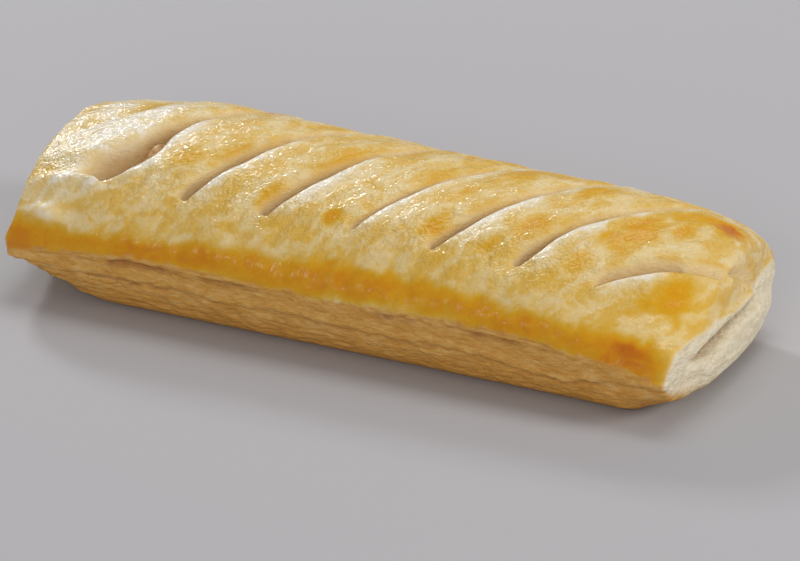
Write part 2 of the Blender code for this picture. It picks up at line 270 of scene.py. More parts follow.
def last_slash(x, y):
    """Share of the last slash's length at x, and the distance across it, positive towards the front."""
    run_x, run_y = LAST_END[0] - LAST_START[0], LAST_END[1] - LAST_START[1]
    along = (x - LAST_START[0]) / run_x
    line_y = LAST_START[1] + run_y * along
    return along, (line_y - y) / math.hypot(1.0, run_y / run_x)


# ---- The top between the slashes ----

PETAL_RISE = 1.9                         # a petal swells by this between two slashes
PETAL_DIP = 0.62                         # share of that which is a dip at the slashes
PETAL_LAST = 5.38                        # beyond here the last petal stays up


def petals(x, y, z):
    """Swelling of the top: from each slash it rises quickly, then falls slowly to the next one."""
    _, number = slash_place(x, y)
    share = number - np.floor(number)
    wave = np.where(number < PETAL_LAST, np.sin(math.pi * share ** 0.72) ** 0.8, 1.0) - PETAL_DIP
    front = smooth_step(y, -25.0, -14.0)
    back = 1.0 - smooth_step(y, 9.0, 28.0)
    left_end = smooth_step(x, -CORNER_X, -CORNER_X + 14.0)
    right_end = 1.0 - smooth_step(x, CORNER_X - 11.0, CORNER_X)
    upper = smooth_step(z, SEAM_Z, SEAM_Z + 8.0)
    return PETAL_RISE * wave * front * back * left_end * right_end * upper


def lumps(x, y, z):
    """Baked unevenness: soft swellings, and smaller ones drawn out along the slashes."""
    start = x - 0.66 * y
    broad = 0.45 * dough_noise(x, y, z, (15.0, 9.0, 9.0), 1)
    middle = 0.30 * dough_noise(start, y, z, (3.6, 7.0, 5.0), 2)
    small = 0.15 * dough_noise(start, y, z, (1.5, 3.0, 2.2), 3)
    return broad, middle + small


TUCK_START, TUCK_END = (-60.5, -20.8), (-79.0, -22.8)    # a ridge from the first slash to the left end
TUCK_HEIGHT, TUCK_WIDTH = 1.5, 2.0
TUCK_DIP, TUCK_DIP_BEHIND, TUCK_DIP_WIDTH = 0.6, 4.6, 2.4
BLISTER_X, BLISTER_Z = -71.5, 20.6       # a blister above the front left corner
BLISTER_LENGTH, BLISTER_WIDTH, BLISTER_HEIGHT = 4.4, 1.9, 1.5


def tuck(x, y):
    """Rise of the ridge where the dough is tucked in left of the first slash, with a dip behind it."""
    share = np.clip((x - TUCK_START[0]) / (TUCK_END[0] - TUCK_START[0]), 0.0, 1.0)
    behind = y - (TUCK_START[1] + (TUCK_END[1] - TUCK_START[1]) * share)
    strength = smooth_step(-x, -TUCK_START[0] - 2.0, -TUCK_START[0] + 3.0) * (1.0 - 0.6 * share)
    ridge = TUCK_HEIGHT * bump(behind, 0.0, TUCK_WIDTH)
    return strength * (ridge - TUCK_DIP * bump(behind, TUCK_DIP_BEHIND, TUCK_DIP_WIDTH))


FLAKE_START, FLAKE_END = (64.5, 4.5), (75.0, 10.5)       # the edge of a flake near the right end
FLAKE_HEIGHT, FLAKE_WIDTH = 0.4, 0.6


def flake(x, y):
    """Rise of the flake's edge: a thin ridge along a line, fading at both ends of it."""
    run_x, run_y = FLAKE_END[0] - FLAKE_START[0], FLAKE_END[1] - FLAKE_START[1]
    along = ((x - FLAKE_START[0]) * run_x + (y - FLAKE_START[1]) * run_y) / (run_x ** 2 + run_y ** 2)
    across = ((x - FLAKE_START[0]) * run_y - (y - FLAKE_START[1]) * run_x) / math.hypot(run_x, run_y)
    across = across + 0.5 * dough_noise(x, y, 0.0, 2.5, 30)
    fade = smooth_step(along, -0.1, 0.15) * (1.0 - smooth_step(along, 0.85, 1.1))
    return FLAKE_HEIGHT * bump(across, 0.0, FLAKE_WIDTH) * fade


def blister(x, z):
    """Swelling of the blister above the front left corner."""
    return BLISTER_HEIGHT * bump(x, BLISTER_X, BLISTER_LENGTH) * bump(z, BLISTER_Z, BLISTER_WIDTH)


# ---- The layers of the sealed side ----

def seam_height(x):
    """Height of the line between the top sheet and the bottom one: level, and lower at both ends."""
    s = sizes_at(x)
    return s.seam_z - 0.2 + 0.45 * dough_noise(x, 0.0, 0.0, 16.0, 21) + 0.2 * dough_noise(x, 0.0, 0.0, 5.0, 22)


def ledge_height(x):
    """Height of the ragged ledge below the seam: it dips before the right end and climbs again."""
    dip = 2.6 * bump(x, 51.0, 13.0)
    return 9.9 - dip + 0.5 * dough_noise(x, 0.0, 0.0, 11.0, 23) + 0.3 * dough_noise(x, 0.0, 0.0, 3.0, 24)


def layers(x, z):
    """Relief of the sealed side at height z: the seam line, the ledge below it and the fine layers."""
    below_seam = z - seam_height(x)
    below_ledge = z - ledge_height(x)
    strength = 0.6 + 0.4 * dough_noise(x, 0.0, 0.0, 13.0, 25)
    fade_right = 1.0 - 0.75 * smooth_step(x, 40.0, 62.0)
    seam = -0.75 * bump(below_seam, 0.0, 0.3) * strength * fade_right
    overhang = 0.28 * smooth_step(below_seam, 1.2, 1.9) * (1.0 - smooth_step(below_seam, 4.0, 11.0))
    ledge = 0.65 * bump(below_ledge, 0.2, 0.9) - 0.55 * bump(below_ledge, -1.1, 0.5) * strength
    warp = 1.4 * dough_noise(x, 0.0, z, (12.0, 1.0, 3.0), 26) + 0.4 * dough_noise(x, 0.0, z, (4.0, 1.0, 1.2), 27)
    fine = 0.15 * np.sin((z + warp) * 2.0 * math.pi / 1.4) * (0.5 + 0.5 * dough_noise(x, 0.0, z, (5.0, 1.0, 1.5), 28))
    ragged = 0.26 * dough_noise(x, 0.0, z, (2.2, 1.0, 0.8), 29)
    open_side = 1.0 - smooth_step(below_seam, 1.0, 2.2)
    return seam + overhang + (ledge + fine + ragged) * open_side


# ---- The outside as one surface ----

LINES = 336                              # mesh lines along the roll
WALL_ROWS, FRONT_ROWS, BACK_ROWS, UNDER_ROWS, BASE_ROWS = 52, 88, 56, 24, 12
ROWS = WALL_ROWS + FRONT_ROWS + BACK_ROWS + UNDER_ROWS + BASE_ROWS


def mesh_lines():
    """Places of the mesh lines: closer together over each slash's wall, closest at its lip."""
    fine = np.linspace(-CORNER_X, CORNER_X, 6001)
    density = 1.0 / 0.62 + 0.6 * smooth_step(np.abs(fine), CORNER_X - 6.0, CORNER_X)
    for start in SLASH_STARTS_X:
        away = fine - start
        density += 1.4 * ((away > -5.5) & (away < 2.2)) + 4.2 * ((away > -0.9) & (away < 1.1))
    total = np.cumsum(density)
    total = (total - total[0]) / (total[-1] - total[0])
    return np.interp(np.linspace(0.0, 1.0, LINES), total, fine)


def low_front(y, z):
    """1 low down on the sealed side, 0 above its seam and behind."""
    return (1.0 - smooth_step(z, 5.0, 10.0)) * smooth_step(-y, 8.0, 20.0)


def crust(u, turn):
    """Points of the outside on the mesh lines u and the rows turn, and its finish at each point.

    The plain outline swells outwards by its lumps and its layers, the top rises by its petals and
    lips, and the slashes are sunk straight down into it.
    """
    plain_y, _ = outline(u, turn)
    x = mesh_x(u, plain_y)
    y, z = outline(x, turn)
    top = (turn > 1.0) & (turn < 3.0)
    cut, bare, deep_shade, lip = slashes(x, y)
    front = smooth_step(y, -23.5, -19.5) * top
    cut, bare, deep_shade, lip = cut * front, bare * front, deep_shade * front, lip * smooth_step(y, -25.0, -18.0) * top
    rise = petals(x, y, z) * top
    shoulder = np.where(x < 0.0, LEFT_SHOULDER, RIGHT_SHOULDER)
    shoulder = shoulder * np.clip(1.0 + (np.abs(x) - CORNER_X) / SHOULDER_LENGTH, 0.0, 1.0) ** 3
    shoulder = shoulder * top * smooth_step(z, SEAM_Z + 2.0, SEAM_Z + 9.0)
    seam_z = sizes_at(x).seam_z
    ear = smooth_step(-x, CORNER_X - EAR_LENGTH, CORNER_X) * smooth_step(-y, 4.0, 26.0)
    right_corner = smooth_step(x, CORNER_X - RIGHT_LENGTH, CORNER_X) * smooth_step(-y, 10.0, 26.0)
    z = z + (EAR_LIFT * ear + RIGHT_LIFT * right_corner) * np.clip(1.0 - z / seam_z, 0.0, 1.0)
    y = y + CORNER_DRAW * np.clip(1.0 + (x - CORNER_X) / CORNER_DRAW_LENGTH, 0.0, 1.0) ** 2 * low_front(y, z)
    x = x - EAR_REACH * smooth_step(-x, CORNER_X - 12.0, CORNER_X) * smooth_step(-y, 23.0, 31.0) * bump(z, 13.0, 3.6)

    plain = np.stack([x, y, z + rise], axis=-1)
    along = np.gradient(plain, axis=0)
    around = np.gradient(plain, axis=1)
    normal = np.cross(along, around)
    normal /= np.linalg.norm(normal, axis=-1, keepdims=True) + 1e-9

    broad, small = lumps(x, y, z)
    resting = smooth_step(z, 0.2, 4.0)
    sealed = (y < -12.0) & (turn < 1.6)
    side = np.where(sealed, layers(x, z), 0.0) * smooth_step(z, 0.6, 3.5)
    quiet = 1.0 - 0.75 * bare
    side_only = np.where(sealed, 1.0 - smooth_step(z, 13.0, 17.0), 0.0)
    swell = broad * resting * (1.0 - 0.5 * side_only) * quiet + small * resting * quiet * (1.0 - 0.4 * side_only) + side
    swell = swell + blister(x, z) * (y < -15.0)
    points = plain + normal * swell[..., None]
    points[..., 2] += lip + (tuck(x, y) + flake(x, y)) * top - cut - shoulder
    bow = np.where(x < 0.0, -LEFT_BOW, RIGHT_BOW) * (1.0 - (y / SEALED_Y) ** 2)
    points[..., 0] += bow * smooth_step(np.abs(x), CORNER_X - BOW_LENGTH, CORNER_X)
    return points, bare, deep_shade, lip


lines = mesh_lines()
turns = np.concatenate([
    np.linspace(0.0, 1.0, WALL_ROWS, endpoint=False),
    np.linspace(1.0, 2.0, FRONT_ROWS, endpoint=False),
    np.linspace(2.0, 3.0, BACK_ROWS, endpoint=False),
    np.linspace(3.0, 4.0, UNDER_ROWS, endpoint=False),
    np.linspace(4.0, 5.0, BASE_ROWS, endpoint=False),
])
line_grid, turn_grid = np.meshgrid(lines, turns, indexing="ij")
outside, bare_dough, slash_shade, lips = crust(line_grid, turn_grid)

# ---- The space for the meat, and the slit where it opens in each end face ----

MEAT_Y, MEAT_Z = -1.0, 18.6
MEAT_HALF_WIDTH, MEAT_HALF_HEIGHT = 15.5, 8.4
SLIT_Y, SLIT_Z = -2.5, 12.6
SLIT_HALF_WIDTH = 16.2
SLIT_HALF_HEIGHT = 2.3
SLIT_RISE = 0.035
PINCH = 17.0                             # the space flattens over this length
TIP = 79.4                               # the space is pinched shut here at the sides, further out in the middle
MEAT_TIP = 77.4                          # and the meat ends here
CLEARANCE = 0.3
CORE_STEP = 4                            # the space has one row for every four of the outside
CORE_INSET = 2.4                         # the rows of the space end this far inside the corners


def opening(share):
    """Height of the slit along it, as a share: open in front, pressed thin behind, a small gap at its end."""
    return 1.0 - 0.62 * smooth_step(share, -0.62, 0.30) + 0.35 * bump(share, 0.74, 0.12)


def across_share(y):
    """Place across the meat for each y of the outside: the middle keeps its y, the sides draw in to 1."""
    def bend(s):
        return s / (1.0 + s ** 4) ** 0.25
    s = (y - MEAT_Y) / MEAT_HALF_WIDTH
    edge = np.where(s < 0.0, bend((SEALED_Y - MEAT_Y) / MEAT_HALF_WIDTH), bend((FOLD_Y - MEAT_Y) / MEAT_HALF_WIDTH))
    return np.clip(bend(s) / np.abs(edge), -1.0, 1.0)


def space(x, ring_y, is_top, flat):
    """Points of the space's wall: an ellipse in the middle, squeezed to a sloping slit as flat goes to 1."""
    share = across_share(ring_y)
    width = MEAT_HALF_WIDTH + (SLIT_HALF_WIDTH - MEAT_HALF_WIDTH) * flat + CLEARANCE * (1.0 - flat)
    slit_height = SLIT_HALF_HEIGHT * opening(share)
    height = MEAT_HALF_HEIGHT + CLEARANCE + (slit_height - MEAT_HALF_HEIGHT - CLEARANCE) * flat
    y = MEAT_Y + (SLIT_Y - MEAT_Y) * flat + width * share
    middle = MEAT_Z + (SLIT_Z - MEAT_Z) * flat + SLIT_RISE * flat * (y - SLIT_Y)
    wave = 0.35 * dough_noise(y, x, 0.0, 5.0, 31) * flat
    z = middle + wave + np.where(is_top, 1.0, -1.0) * height * np.sqrt(np.clip(1.0 - share ** 2, 0.0, 1.0))
    return np.stack([x, y, z], axis=-1)


CORNER_ROUND = 1.4                       # an end face's upright corners are rounded over this far
CUT_FACE = (5.0, 2.4)                    # the top rounds down until this far above the slit, front and back
LOWER_ROUND = 3.0                        # the bottom's edge is rounded over this far
LOW_CORNER_ROUND = 4.6                   # and the lower front corner of the right end over this far
LOWER_BULGE = 1.1                        # the bottom layer stands out below the slit
CUT_CREASE = math.radians(58.0)          # the top has turned down by this where its cut edge begins
LIP_ROUND = 1.5                          # the slit's lips are rounded too
EDGE_RINGS, FACE_RINGS, LIP_RINGS, MOUTH_RINGS = 9, 7, 7, 2


GROOVE_START, GROOVE_END = (-2.7, 26.3), (13.5, 15.8)    # the last slash runs on over the right end face
GROOVE_DEPTH, GROOVE_WALL = 1.8, 4.0


def face_groove(y, z):
    """Depth of the last slash on the right end face, and its share of bare dough."""
    run_y, run_z = GROOVE_END[0] - GROOVE_START[0], GROOVE_END[1] - GROOVE_START[1]
    length = math.hypot(run_y, run_z)
    along = ((y - GROOVE_START[0]) * run_y + (z - GROOVE_START[1]) * run_z) / length ** 2
    across = ((y - GROOVE_START[0]) * run_z - (z - GROOVE_START[1]) * run_y) / length
    fade = smooth_step(along, -0.3, 0.0) * (1.0 - smooth_step(along, 0.75, 1.1))
    depth, bare, _, lip = trench(across, np.full_like(across, -1.0), 0.0, 0.0, GROOVE_WALL, fade)
    return depth * GROOVE_DEPTH / CREASE_DEPTH - lip, bare


FOLD_LINE_START, FOLD_LINE_END = (-13.0, 8.0), (8.0, 5.8)     # a crease in the bottom layer of the right end
FOLD_LINE_DEPTH, FOLD_LINE_WIDTH = 0.45, 0.4


def face_fold(y, z):
    """Depth of the crease below the slit on the right end face."""
    share = (y - FOLD_LINE_START[0]) / (FOLD_LINE_END[0] - FOLD_LINE_START[0])
    line_z = FOLD_LINE_START[1] + (FOLD_LINE_END[1] - FOLD_LINE_START[1]) * share
    line_z = line_z + 0.5 * dough_noise(y, 0.0, 0.0, 4.0, 35)
    fade = smooth_step(share, -0.1, 0.2) * (1.0 - smooth_step(share, 0.8, 1.1))
    return FOLD_LINE_DEPTH * bump(z, line_z, FOLD_LINE_WIDTH) * fade


def end_face(ring, is_top, side):
    """Rings from the edge of an end to its slit: a rounded edge, a slightly domed face and rounded lips.

    Each point goes straight towards its own place on the slit. Along the way it moves outwards along a
    part of an ellipse that begins at the slope of the outside, stays almost level over the face, and
    turns inwards round the lip.
    """
    mouth = space(ring[:, 0], ring[:, 1], is_top, 1.0)
    way = mouth[:, 1:] - ring[:, 1:]
    length = np.linalg.norm(way, axis=-1)
    way = way / (length[:, None] + 1e-9)
    rise = ring[:, 2] - SLIT_Z
    cut_face = CUT_FACE[0] + (CUT_FACE[1] - CUT_FACE[0]) * smooth_step(ring[:, 1], -14.0, 8.0)
    round_top = np.clip(length - cut_face, CORNER_ROUND, 0.85 * length)
    edge = CORNER_ROUND + (round_top - CORNER_ROUND) * smooth_step(rise, 1.0, 9.0)
    edge = edge + (LOWER_ROUND - CORNER_ROUND) * smooth_step(-rise, 3.0, 9.0)
    low_corner = low_front(ring[:, 1], ring[:, 2]) * (side > 0)
    edge = edge + (LOW_CORNER_ROUND - edge) * low_corner
    lip = np.minimum(LIP_ROUND, 0.25 * length)
    lower = smooth_step(-rise, 2.0, 7.0) * (1.0 - 0.8 * smooth_step(-ring[:, 1], 12.0, 24.0))
    out = END_SWELL - 0.8
    upper = smooth_step(rise, 2.0, 9.0)
    slope = 3.0 * (LEFT_SHOULDER if side < 0 else RIGHT_SHOULDER) / SHOULDER_LENGTH
    slope = slope * upper + 2.0 * CORNER_DRAW / CORNER_DRAW_LENGTH * low_corner
    last = math.pi / 2.0 + (CUT_CREASE - math.pi / 2.0) * upper
    first = np.zeros_like(last)
    for _ in range(6):
        first = np.arctan(slope * out / edge * np.tan((first + last) / 2.0))
    forward, outward = [], []
    for t in np.linspace(0.0, 1.0, EDGE_RINGS + 1)[1:]:
        angle = first + (last - first) * t
        forward.append(edge * (np.cos(first) - np.cos(angle)) / (np.cos(first) - np.cos(last)))
        outward.append(out * (np.sin(angle) - np.sin(first)) / (np.sin(last) - np.sin(first)))
    for t in np.linspace(0.0, 1.0, FACE_RINGS + 2)[1:-1]:
        forward.append(edge + (length - lip - edge) * t)
        outward.append(out + 0.8 * math.sin(t * math.pi / 2.0) + 0.0 * edge)
    for angle in np.linspace(0.0, math.pi / 2.0, LIP_RINGS):
        forward.append(length - lip * (1.0 - math.sin(angle)))
        outward.append(END_SWELL - LIP_ROUND * (1.0 - math.cos(angle)) + 0.0 * edge)
    for t in range(1, MOUTH_RINGS + 1):
        forward.append(length)
        outward.append(END_SWELL - LIP_ROUND - 0.9 * t + 0.0 * edge)
    forward, outward = np.array(forward), np.array(outward)
    share = np.linspace(0.0, 1.0, len(forward))[:, None]
    outward = outward + LOWER_BULGE * lower * np.sin(math.pi * np.clip(share / 0.8, 0.0, 1.0))
    points = np.empty(forward.shape + (3,))
    points[..., 0] = ring[:, 0] + side * outward
    points[..., 1:] = ring[:, 1:] + way * forward[..., None]
    crumb = 0.22 * dough_noise(points[..., 0], points[..., 1], points[..., 2], (3.0, 3.0, 1.0), 33)
    crumb = crumb + 0.3 * dough_noise(points[..., 0], points[..., 1], points[..., 2], (6.0, 7.0, 3.0), 34)
    fade = smooth_step(share, 0.0, 0.35) * (1.0 - smooth_step(share, 0.8, 1.0))
    points[..., 0] += (crumb - side * 0.3) * fade
    groove, bare = face_groove(points[..., 1], points[..., 2])
    mark = smooth_step(share, 0.0, 0.15) * (side > 0)
    points[..., 0] -= (groove + face_fold(points[..., 1], points[..., 2])) * mark
    return points, bare * mark


ring_is_top = (turns >= 1.0) & (turns < 3.0)
left_face, left_bare = end_face(outside[0], ring_is_top, -1)
right_face, right_bare = end_face(outside[-1], ring_is_top, 1)

# The rows of the space, on a choice of the outside's mesh lines that includes both sides of each hole.
HOLE_LEFT, HOLE_RIGHT = 0.9, 0.12        # a slash opens the space between these sides of its lip line
HOLE_TOP = 1.9                           # length of whole dough between a slash's ends and its hole


def nearest(values, target):
    """Number of the value nearest to the target."""
    return int(np.argmin(np.abs(values - target)))


def hole_rows(slash):
    """First and last row of a slash's hole, rounded so that they are rows of the space too."""
    front = (turns >= 1.0) & (turns < 3.0)
    ring_y, _ = outline(np.zeros_like(turns), turns)
    places = [SLASH_START_Y + slash["delay"] + share * slash["run"] for share in slash["hole"]]
    rows = [nearest(np.where(front, ring_y, 1e6), y) for y in places]
    return [CORE_STEP * round(row / CORE_STEP) for row in rows]


holes = []
for slash, start in zip(SLASHES, SLASH_STARTS_X):
    if slash["hole"]:
        first_row, last_row = hole_rows(slash)
        left = nearest(lines, start - slash["gape"] - 0.25)
        right = nearest(lines, start + HOLE_RIGHT)
        holes.append((left, right, first_row, last_row))

core_lines = {line for line in range(0, LINES, CORE_STEP) if abs(lines[line]) < CORNER_X - CORE_INSET}
for left, right, _, _ in holes:
    core_lines -= set(range(left - 1, right + 2))
    core_lines |= {left, right}
core_lines = sorted(core_lines)
core_y = outline(lines[core_lines][:, None], turns[::CORE_STEP][None, :])[0]
core_x = mesh_x(lines[core_lines][:, None], np.clip(MEAT_Y + MEAT_HALF_WIDTH * across_share(core_y), -20.0, 20.0))
flatness = smooth_step(np.abs(core_x), TIP - PINCH - 2.0, CORNER_X - CORE_INSET)
core = space(core_x, core_y, ring_is_top[::CORE_STEP][None, :], flatness)


# ---- The closed mesh ----

def quads(grid, skip=()):
    """Faces of a closed grid of point numbers, one for each cell, without the skipped blocks of cells."""
    grid = np.concatenate([grid, grid[:, :1]], axis=1)
    cells = np.stack([grid[:-1, :-1], grid[1:, :-1], grid[1:, 1:], grid[:-1, 1:]], axis=-1)
    keep = np.ones(cells.shape[:2], bool)
    for left, right, first, last in skip:
        keep[left:right, first:last] = False
    return cells[keep], keep


def join(fine, coarse):
    """Triangles between two rows of points, the fine one with a whole number of steps for each coarse one."""
    steps = (len(fine) - 1) // (len(coarse) - 1)
    k = np.arange(len(fine) - 1)
    fans = np.stack([coarse[k // steps], fine[k], fine[k + 1]], axis=-1)
    c = np.arange(len(coarse) - 1)
    closing = np.stack([coarse[c], fine[(c + 1) * steps], coarse[c + 1]], axis=-1)
    return np.concatenate([fans, closing])


def closed_row(row):
    """A ring of point numbers that ends where it starts."""
    return np.append(row, row[0])


def rim(grid, left, right, first, last):
    """The four sides of a block of a grid, each as a row of point numbers, all the way round."""
    return (grid[left:right + 1, first], grid[right, first:last + 1],
            grid[left:right + 1, last][::-1], grid[left, first:last + 1][::-1])


CELL_CORNERS = np.array([(0, 0), (1, 0), (1, 1), (0, 1)])


def block_map(keep, corner, size, sideways=False):
    """Bake map of a grid's faces: a rectangle at corner with cells of one size, turned if sideways."""
    cells = np.stack(np.nonzero(keep), axis=-1)[:, None, :] + CELL_CORNERS
    place = cells / np.array(keep.shape)
    return np.array(corner) + (place[..., ::-1] if sideways else place) * np.array(size)


def scrap_map(count, corner, size):
    """Bake map of loose triangles: each has its own small cell in a rectangle at corner."""
    across = int(np.ceil(np.sqrt(count * size[0] / size[1])))
    cell = np.array([size[0] / across, size[1] / np.ceil(count / across)])
    k = np.arange(count)
    place = np.stack([k % across, k // across], axis=-1)[:, None, :]
    return np.array(corner) + (place + np.array([(0.1, 0.1), (0.8, 0.1), (0.1, 0.8)])) * cell


def new_piece(name, points, faces, maps, finishes):
    """A smooth mesh object from arrays of points, faces, their bake maps and finishes of each point."""
    mesh = bpy.data.meshes.new(name)
    corners = np.concatenate([part.ravel() for part in faces])
    counts = np.concatenate([np.full(len(part), part.shape[1]) for part in faces])
    mesh.vertices.add(len(points))
    mesh.vertices.foreach_set("co", (points * MM).astype(np.float32).ravel())
    mesh.loops.add(len(corners))
    mesh.loops.foreach_set("vertex_index", corners.astype(np.int32))
    mesh.polygons.add(len(counts))
    mesh.polygons.foreach_set("loop_start", (np.cumsum(counts) - counts).astype(np.int32))
    mesh.update(calc_edges=True)
    layer = mesh.uv_layers.new(name="OFBake")
    layer.uv.foreach_set("vector", np.concatenate([part.reshape(-1, 2) for part in maps]).astype(np.float32).ravel())
    for finish, values in finishes.items():
        mesh.attributes.new(finish, "FLOAT", "POINT").data.foreach_set("value", values.astype(np.float32))
    mesh.shade_smooth()
    piece = bpy.data.objects.new(name, mesh)
    bpy.context.scene.collection.objects.link(piece)
    return piece


# ---- How brown the crust is, and where highlights are painted on it ----

BAND_Z, BAND_X = 19.2, 15.0              # the brown band along the pressed edge
BAND_FALL_LEFT, BAND_FALL_RIGHT = 0.00060, 0.0013
BAND_ABOVE, BAND_BELOW = 3.4, 4.6        # how far it reaches above and below

# Toasted patches of the top: their place, their half length along a slash, half width, and strength.
PATCHES = (
    (61.5, -1.0, 8.0, 4.0, 0.62), (56.0, -6.5, 3.5, 1.6, 0.60), (69.0, 3.0, 4.0, 2.2, 0.55),
    (73.5, -13.5, 6.0, 5.0, 0.55), (70.0, -18.0, 6.0, 1.6, 0.42), (66.5, 8.5, 4.0, 1.6, 0.62),
    (38.5, -9.5, 6.0, 2.6, 0.60), (33.0, -16.0, 3.0, 1.6, 0.45), (17.5, -14.5, 4.5, 2.2, 0.62),
    (-5.5, -18.5, 2.0, 1.8, 0.70), (-35.5, -5.5, 4.0, 1.4, 0.55), (-63.0, 9.5, 7.0, 1.8, 0.45),
    (-38.5, 14.5, 9.0, 2.2, 0.48), (-17.5, 11.5, 9.0, 2.2, 0.42), (3.0, 11.0, 9.0, 2.4, 0.44),
    (28.0, 10.0, 8.0, 2.4, 0.40), (75.6, 12.8, 4.2, 3.2, 1.00), (71.5, 10.5, 4.5, 3.0, 0.60), (72.0, 27.0, 3.0, 2.0, 0.70),
    (-44.0, -12.0, 4.0, 2.0, 0.34), (46.0, 8.0, 7.0, 2.6, 0.44), (12.0, 2.0, 5.0, 2.6, 0.36),
    (-10.0, 0.0, 6.0, 3.0, 0.38), (-22.0, -16.5, 3.0, 1.8, 0.40), (52.0, -16.0, 4.0, 2.0, 0.36),
    (-75.0, -2.0, 5.0, 2.0, 0.25), (-28.0, 2.0, 5.0, 1.6, 0.36), (20.0, -4.0, 4.0, 1.6, 0.42),
)


PALE_DOME = (-66.0, -3.0, 13.0, 17.0, 0.33)   # the top's left end has stayed pale: place, half sizes, strength
PALE_SLOPE = -0.06                       # the slope above the band is a little browner
LIP_PALE_AND_HIGHLIGHT = 0.34                         # the slashes' lips are paler: partly their pale cut edge, partly a painted highlight
BLISTER_PALE_AND_HIGHLIGHT, PALE_FLAKE, TUCK_HIGHLIGHT = 0.45, 0.25, 0.28    # paler: the blister, partly its own dough and partly a painted highlight; the flake's edge; the tucked ridge, a painted highlight


def browned_and_highlight(points, lip):
    """How brown the crust is, from -0.5 for pale to 1 for dark: band, corners, patches, pale places, and painted
    highlights on the lips, the tucked ridge and the blister.
    """
    x, y, z = points[..., 0], points[..., 1], points[..., 2]
    fall = np.where(x < BAND_X, BAND_FALL_LEFT, BAND_FALL_RIGHT)
    uneven = 1.3 * dough_noise(x, y, z, (7.0, 5.0, 5.0), 61) + 0.8 * dough_noise(x, y, z, (2.0, 3.0, 3.0), 62)
    off = z - BAND_Z + fall * (x - BAND_X) ** 2 + uneven
    corners = bump(x, 71.0, 8.0), bump(x, -76.0, 9.0)
    off = off / np.where(off > 0.0, BAND_ABOVE + 1.0 * corners[0] + 2.4 * corners[1], BAND_BELOW + 2.4 * corners[1])
    strength = 0.66 + 0.07 * dough_noise(x, 0.0, 0.0, 11.0, 63) + 0.25 * corners[0] + 0.10 * corners[1]
    band = strength * (1.0 - smooth_step(np.abs(off), 0.3, 1.25)) * (1.0 - smooth_step(y, -18.0, -13.0))
    top = np.zeros_like(x)
    lean_length = math.hypot(1.0, 0.66)
    ragged = np.exp(0.9 * dough_noise(x, y, z, 3.2, 64) + 0.5 * dough_noise(x, y, z, 1.5, 67))
    for patch_x, patch_y, length, width, amount in PATCHES:
        along = ((y - patch_y) + 0.66 * (x - patch_x)) / lean_length
        across = ((x - patch_x) - 0.66 * (y - patch_y)) / lean_length
        away = ((along / length) ** 2 + (across / width) ** 2) * ragged
        top = np.maximum(top, amount * np.exp(-away ** 1.5))
    top = top * (z > 15.0)
    slope = PALE_SLOPE * smooth_step(z, 15.0, 18.0) * (1.0 - smooth_step(z, 25.0, 30.0)) * (y < 0.0)
    dome_x, dome_y, dome_length, dome_width, dome_strength = PALE_DOME
    pale_and_highlight = dome_strength * bump(x, dome_x, dome_length) * bump(y, dome_y, dome_width) * (z > 18.0)
    # painted highlights: the lips (also their pale cut edge), the tucked ridge and the blister (also its paler dough)
    # are made paler
    pale_and_highlight = pale_and_highlight + slope + LIP_PALE_AND_HIGHLIGHT * lip / LIP_HEIGHT + PALE_FLAKE * flake(x, y) / FLAKE_HEIGHT * (z > 15.0)
    pale_and_highlight = pale_and_highlight + TUCK_HIGHLIGHT * np.maximum(tuck(x, y), 0.0) / TUCK_HEIGHT * (z > 18.0)
    pale_and_highlight = pale_and_highlight + BLISTER_PALE_AND_HIGHLIGHT * blister(x, z) / BLISTER_HEIGHT * (y < -15.0)
    corner = 0.45 * bump(x, 80.0, 4.0) * bump(y, -26.0, 4.0) * bump(z, 3.5, 3.5)
    rim = 1.0 - 0.75 * smooth_step(x, CORNER_X - 2.2, CORNER_X + 1.6) * (1.0 - smooth_step(y, 0.0, 8.0))
    return np.clip(np.maximum(np.maximum(band, top) * rim, corner) - pale_and_highlight, -0.5, 1.0)


def cut_side(points):
    """1 on the layered cut edge of the sealed side, below the glazed band, and 0 elsewhere."""
    x, y, z = points[..., 0], points[..., 1], points[..., 2]
    edge = seam_height(x) + 1.5 - 2.4 * bump(x, -81.0, 5.0) + 0.45 * dough_noise(x, 0.0, 0.0, 2.6, 65) + 0.3 * dough_noise(x, 0.0, 0.0, 0.9, 68)
    return (1.0 - smooth_step(z, edge - 0.4, edge + 0.5)) * (1.0 - smooth_step(y, -24.0, -18.0))


def furrow_shade(points):
    """1 in the furrows between the layers of the sealed side and along its seam: painted shade in the furrows, and the
    seam's dark joint.
    """
    x, z = points[..., 0], points[..., 2]
    return np.clip(-2.0 * (layers(x, z) + 0.14), 0.0, 1.0)


def cut_end(face, slit_line):
    """1 on the pale cut edges of an end face, up to 5 mm above the slit in front and 2 mm at the back."""
    above = face[..., 2] - slit_line
    reach = CUT_FACE[0] + (CUT_FACE[1] - CUT_FACE[0]) * smooth_step(face[..., 1], -14.0, 8.0)
    ragged = 0.5 * dough_noise(face[..., 1], face[..., 2], 0.0, 3.0, 66)
    corner = bump(face[..., 1], -26.0, 5.0) * bump(face[..., 2], 3.0, 4.0) * (face[..., 0] > 0.0)
    return (1.0 - smooth_step(above - reach + ragged, -0.4, 0.9)) * (1.0 - 0.8 * corner)


def all_points():
    """Point numbers of the outside, both end faces and the space, each as a grid."""
    parts = [outside, left_face, right_face, core]
    starts = np.cumsum([0] + [part.shape[0] * part.shape[1] for part in parts])
    return [start + np.arange(part.shape[0] * part.shape[1]).reshape(part.shape[:2])
            for part, start in zip(parts, starts)]


